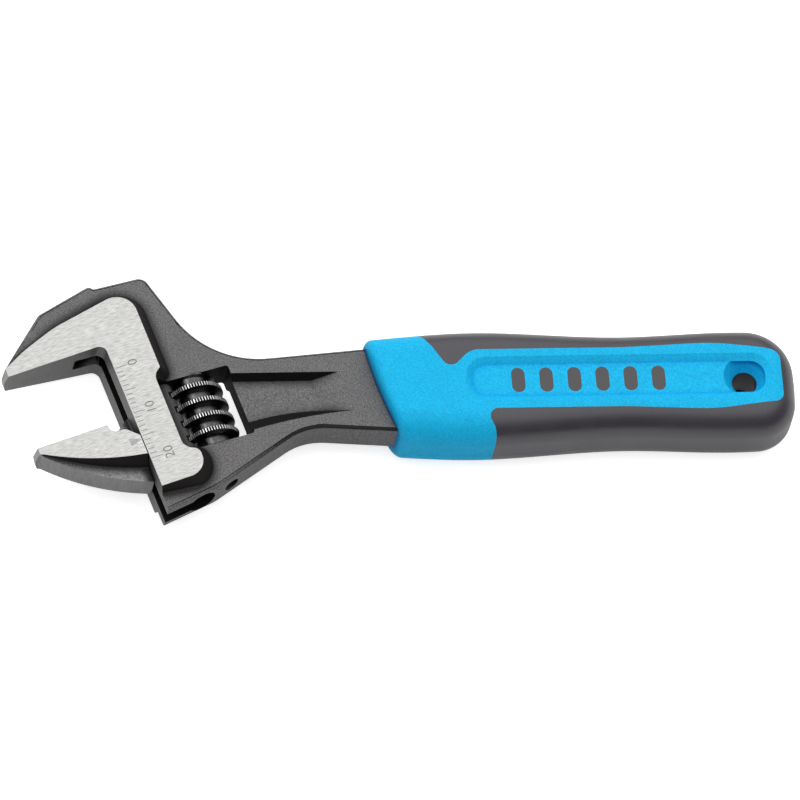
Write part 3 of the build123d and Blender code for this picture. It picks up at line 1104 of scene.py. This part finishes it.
@dataclass
class WormDrive:
    """Knurled worm with its pin and spring, in millimetres."""

    axes: HeadFrame
    along: float = 14.5
    top: float = -10.05
    length: float = 14.8
    radius: float = 5.2
    chamfer: float = 1.5
    root: float = 3.4
    pitch: float = 3.25
    phase: float = 2.0
    crest: float = 0.9
    foot: float = 1.6
    edge: float = 0.1
    bore: float = 1.55
    spring_bore: float = 2.5
    spring_depth: float = 4.0
    teeth: int = 60
    tooth_depth: float = 0.22
    samples: int = 3
    crest_facet: int = 4
    lead_turns: int = 2
    spare_turns: int = 3
    ring: int = 60
    weld: float = 1e-4
    cut_play: float = 1e-5
    end_play: float = 1e-3
    smooth_angle: float = math.radians(38.0)

    def profile(self, valley: bool) -> list[Span]:
        """Section of one turn, as axial places with radii.

        Args:
            valley: True between two teeth of the knurl.

        Returns:
            The points, from one root to the next.
        """
        tip = self.radius - (self.tooth_depth if valley else 0.0)
        half = self.crest / 2
        first = [
            (-self.pitch / 2, self.root),
            (-self.foot / 2 - self.edge, self.root),
            (-self.foot / 2, self.root + self.edge),
            (-half - self.edge / 2, self.radius - self.edge - self.tooth_depth),
            (-half + self.edge / 2, tip),
        ]
        return first + [(-place, radius) for place, radius in reversed(first)]

    def limit(self, place: float) -> float:
        """Largest radius at a place along the axis, inside the chamfers of the ends."""
        inset = max(0.0, min(place, self.length - place, self.chamfer))
        return self.radius - self.chamfer + inset

    def thread(self) -> bmesh.types.BMesh:
        """Skin of a thread that is longer than the worm.

        Returns:
            The mesh, along z, in millimetres.
        """
        shape = bmesh.new()
        steps = self.teeth * self.samples
        turns = math.ceil(self.length / self.pitch) + self.spare_turns
        rows = []
        for step in range(turns * steps + 1):
            angle = -2 * math.pi * step / steps
            middle = self.phase + self.pitch * (step / steps - self.lead_turns)
            valley = step % self.samples == self.samples - 1
            row = []
            for z, r in self.profile(valley):
                reach = min(r, self.limit(middle + z))
                point = (reach * math.cos(angle), reach * math.sin(angle), middle + z)
                row.append(shape.verts.new(point))
            rows.append(row)
        for step, (row, after) in enumerate(zip(rows, rows[1:])):
            for index in range(len(row) - 1):
                facet = shape.faces.new((row[index], after[index], after[index + 1], row[index + 1]))
                # Painted glints: the crest facet of every few teeth takes the lighter finish.
                painted_glint = index == self.crest_facet and step % self.samples == 0
                facet.material_index = 1 if painted_glint else 0
        bmesh.ops.remove_doubles(shape, verts=shape.verts, dist=self.weld)
        return shape

    def trim(self, shape: bmesh.types.BMesh) -> None:
        """Cuts the thread square at both ends of the worm.

        Args:
            shape: the thread.
        """
        for place, side in ((0.0, -1.0), (self.length, 1.0)):
            parts = list(shape.verts) + list(shape.edges) + list(shape.faces)
            bmesh.ops.bisect_plane(
                shape,
                geom=parts,
                dist=self.cut_play,
                plane_co=(0.0, 0.0, place),
                plane_no=(0.0, 0.0, side),
                clear_outer=True,
            )

    def close(self, shape: bmesh.types.BMesh) -> None:
        """Adds the stepped bore and the two end faces.

        Args:
            shape: the trimmed thread.
        """
        ends = {0.0: [], self.length: []}
        for edge in shape.edges:
            for place in ends:
                at_end = all(abs(vert.co.z - place) < self.end_play for vert in edge.verts)
                if edge.is_boundary and at_end:
                    ends[place].append(edge)
        stations = [
            (0.0, self.spring_bore),
            (self.spring_depth, self.spring_bore),
            (self.spring_depth, self.bore),
            (self.length, self.bore),
        ]
        angles = [2 * math.pi * index / self.ring for index in range(self.ring)]
        rings = []
        for z, radius in stations:
            points = [(radius * math.cos(angle), radius * math.sin(angle), z) for angle in angles]
            rings.append([shape.verts.new(point) for point in points])
        for ring, after in zip(rings, rings[1:]):
            for index in range(self.ring):
                turn = (index + 1) % self.ring
                shape.faces.new((ring[index], ring[turn], after[turn], after[index]))
        for place, ring in ((0.0, rings[0]), (self.length, rings[-1])):
            inner = [shape.edges.get((ring[i], ring[(i + 1) % self.ring])) for i in range(self.ring)]
            bmesh.ops.triangle_fill(shape, use_beauty=True, edges=ends[place] + inner)

    def build_worm(self) -> bpy.types.Object:
        """Makes the knurled worm that stands for the plain one.

        Returns:
            The piece.
        """
        shape = self.thread()
        self.trim(shape)
        self.close(shape)
        bmesh.ops.recalc_face_normals(shape, faces=shape.faces)
        axis = self.axes.opening()
        inward = -self.axes.along()
        turned = Matrix((inward, axis.cross(inward), axis)).transposed().to_4x4()
        place = Matrix.Translation(self.axes.place(self.along, self.top))
        shape.transform(place @ turned @ Matrix.Scale(MM, 4))
        black = BlackOxide("worm_oxide").build()
        # Lighter finish: painted glints on the knurl's tooth tops.
        painted_glint = BlackOxide("painted_knurl_glint", grey(0.55), rough=(0.2, 0.3)).build()
        piece = add_piece("knurled_worm", shape, "worm", "worm_steel", black, painted_glint)
        piece.data.shade_smooth()
        piece.data.set_sharp_from_angle(angle=self.smooth_angle)
        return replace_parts(piece, "worm")

    def build(self) -> None:
        """Makes the worm and dresses its pin and spring."""
        self.build_worm()
        dress(frame["nodes"]["worm_pin"], [BlackOxide("pin_steel", grey(0.12)).build()])
        dress(frame["nodes"]["worm_spring"], [BlackOxide("spring_wire", grey(0.4)).build()])


@dataclass
class Handle:
    """Hard shell and soft grip of the handle, in millimetres."""

    hole: Span = (66.028, 0.11)
    hole_radius: float = 2.5
    hole_facing: float = 0.05
    hole_dark: Colour = (0.012, 0.012, 0.012)
    blue: Colour = (0.012, 0.53, 0.92)
    deep_blue: Colour = (0.15, 0.45, 0.7)
    soft: Colour = (0.036, 0.032, 0.044)
    inlay: Colour = (0.030, 0.028, 0.033)

    def shell_zone(self, centre: Vector, normal: Vector) -> int:
        """Slot of a facet of the shell: the hole's wall, painted dark as shade, or the plain blue.
        """
        offset = Vector((centre.x / MM - self.hole[0], centre.y / MM - self.hole[1]))
        return 1 if offset.length < self.hole_radius and abs(normal.z) < self.hole_facing else 0

    def build(self) -> None:
        """Dresses the three pieces of the handle."""
        nodes = frame["nodes"]
        shell = MouldedPlastic("blue_shell", self.blue, self.deep_blue).build()
        grip = SoftGrip("soft_grip", self.soft).build()
        # Painted shade on the wall of the hole, far inside.
        dark = SoftGrip("hole_painted_shade", self.hole_dark).build()
        dress(nodes["grip_core"], [shell, dark], self.shell_zone)
        dress(nodes["grip_sleeve"], [grip])
        dress(nodes["grip_inlays"], [SoftGrip("soft_inlay", self.inlay).build()])


@dataclass
class Lamp:
    """One soft box."""

    name: str
    place: Triple
    target: Triple
    size: Span
    power: float

    def build(self) -> None:
        """Hangs the lamp and turns it to its target."""
        data = bpy.data.lights.new(self.name, "AREA")
        data.shape = "RECTANGLE"
        data.size, data.size_y = self.size
        data.energy = self.power
        lamp = bpy.data.objects.new(self.name, data)
        lamp.location = self.place
        aim = Vector(self.target) - Vector(self.place)
        lamp.rotation_mode = "QUATERNION"
        lamp.rotation_quaternion = aim.to_track_quat("-Z", "Y")
        bpy.context.scene.collection.objects.link(lamp)


@dataclass
class Studio:
    """Pale floor, soft light and white surroundings, in metres."""

    floor_size: float = 4.0
    floor_drop: float = 0.0002
    floor_colour: Colour = (0.86, 0.86, 0.86)
    floor_patch: float = 30.0
    floor_patchy: Span = (0.995, 1.0)
    floor_glow: float = 0.72
    floor_mirror_glow: float = 0.25
    light_from: Triple = (-0.06, 0.34, 0.938)
    levels: Shades = ((0.30, 0.06), (0.55, 0.14), (0.74, 0.36), (0.85, 1.32), (1.0, 1.45))
    lamps: list[Lamp] = field(
        default_factory=lambda: [
            Lamp("glint", (-0.70, 0.31, 0.99), (-0.04, 0.0, 0.01), (0.25, 0.25), 0.5),
        ]
    )

    def floor_material(self) -> bpy.types.Material:
        """Pale finish that the camera sees as white and mirrors see as pale.

        Returns:
            The material.
        """
        graph = Graph("pale_floor")
        patches = graph.noise(self.floor_patch)
        graph.paint(graph.mottle(patches, self.floor_colour, self.floor_patchy))
        paths = graph.add("ShaderNodeLightPath")
        seen = graph.calc("MULTIPLY", paths.outputs["Is Camera Ray"], self.floor_glow)
        mirrored = graph.calc("MULTIPLY", paths.outputs["Is Glossy Ray"], self.floor_mirror_glow)
        glow = graph.calc("MAXIMUM", seen, mirrored)
        graph.join(glow, graph.surface.inputs["Emission Strength"])
        graph.set(Emission_Color=(*WHITE, 1.0), Roughness=0.9, Specular_IOR_Level=0.1)
        return graph.material

    def build_floor(self) -> None:
        """Lays the floor just under the object."""
        shape = bmesh.new()
        bmesh.ops.create_grid(shape, x_segments=1, y_segments=1, size=self.floor_size / 2)
        mesh = bpy.data.meshes.new("floor")
        shape.to_mesh(mesh)
        shape.free()
        mesh.materials.append(self.floor_material())
        floor = bpy.data.objects.new("floor", mesh)
        floor.location.z = -self.floor_drop
        bpy.context.scene.collection.objects.link(floor)

    def build_world(self) -> None:
        """Surrounds the scene with soft light that is brightest overhead and behind."""
        world = bpy.data.worlds.new("studio")
        bpy.context.scene.world = world
        world.use_nodes = True
        nodes = Nodes(world.node_tree)
        facing = nodes.add("ShaderNodeVectorMath", operation="DOT_PRODUCT")
        facing.inputs[1].default_value = self.light_from
        nodes.join(nodes.add("ShaderNodeTexCoord").outputs["Generated"], facing.inputs[0])
        share = nodes.spread(facing.outputs["Value"], -1.0, 1.0)
        light = nodes.add("ShaderNodeBackground")
        nodes.join(nodes.ramp(share, greys(self.levels)), light.inputs["Color"])
        white = nodes.add("ShaderNodeBackground")
        white.inputs["Color"].default_value = (*WHITE, 1.0)
        mix = nodes.add("ShaderNodeMixShader")
        seen = nodes.add("ShaderNodeLightPath").outputs["Is Camera Ray"]
        for end, start in zip(mix.inputs, (seen, light.outputs[0], white.outputs[0])):
            nodes.join(start, end)
        nodes.join(mix.outputs[0], nodes.add("ShaderNodeOutputWorld").inputs["Surface"])

    def build(self) -> None:
        """Sets up the whole studio."""
        bpy.context.scene.view_settings.view_transform = "Standard"
        self.build_floor()
        self.build_world()
        for lamp in self.lamps:
            lamp.build()
        LOG.info("studio with %d lamps", len(self.lamps))


@dataclass
class Viewpoint:
    """Camera at the photograph's angle, with a very long lens.

    The target and the sensor are in millimetres, the other lengths in metres.
    """

    right: Triple = (0.98752, -0.08664, 0.13152)
    up: Triple = (0.01544, 0.88432, 0.46663)
    target: Triple = (0.221, -0.373, 7.3)
    distance: float = 6.0
    far: float = 24.0
    width: float = 0.1518
    sensor: float = 36.0

    def build(self) -> None:
        """Makes the camera and makes it the scene's own."""
        right = Vector(self.right).normalized()
        back = right.cross(Vector(self.up)).normalized()
        up = back.cross(right)
        data = bpy.data.cameras.new("camera")
        data.sensor_width = self.sensor
        data.lens = self.sensor * self.distance / self.width
        data.clip_end = self.far
        camera = bpy.data.objects.new("camera", data)
        turned = Matrix((right, up, back)).transposed().to_4x4()
        place = Vector(self.target) * MM + back * self.distance
        camera.matrix_world = Matrix.Translation(place) @ turned
        bpy.context.scene.collection.objects.link(camera)
        bpy.context.scene.camera = camera
        LOG.info("camera with a %.0f mm lens", data.lens)


def main() -> None:
    """Builds the camera, the studio and every sub-assembly in order."""
    logging.basicConfig(level=logging.INFO, format="%(message)s")
    axes = HeadFrame()
    Viewpoint().build()
    Studio().build()
    Head(axes).build()
    Scale(axes).build(EtchedMark().build())
    MovingJaw(axes).build()
    WormDrive(axes).build()
    Handle().build()


if __name__ == "__main__":
    main()
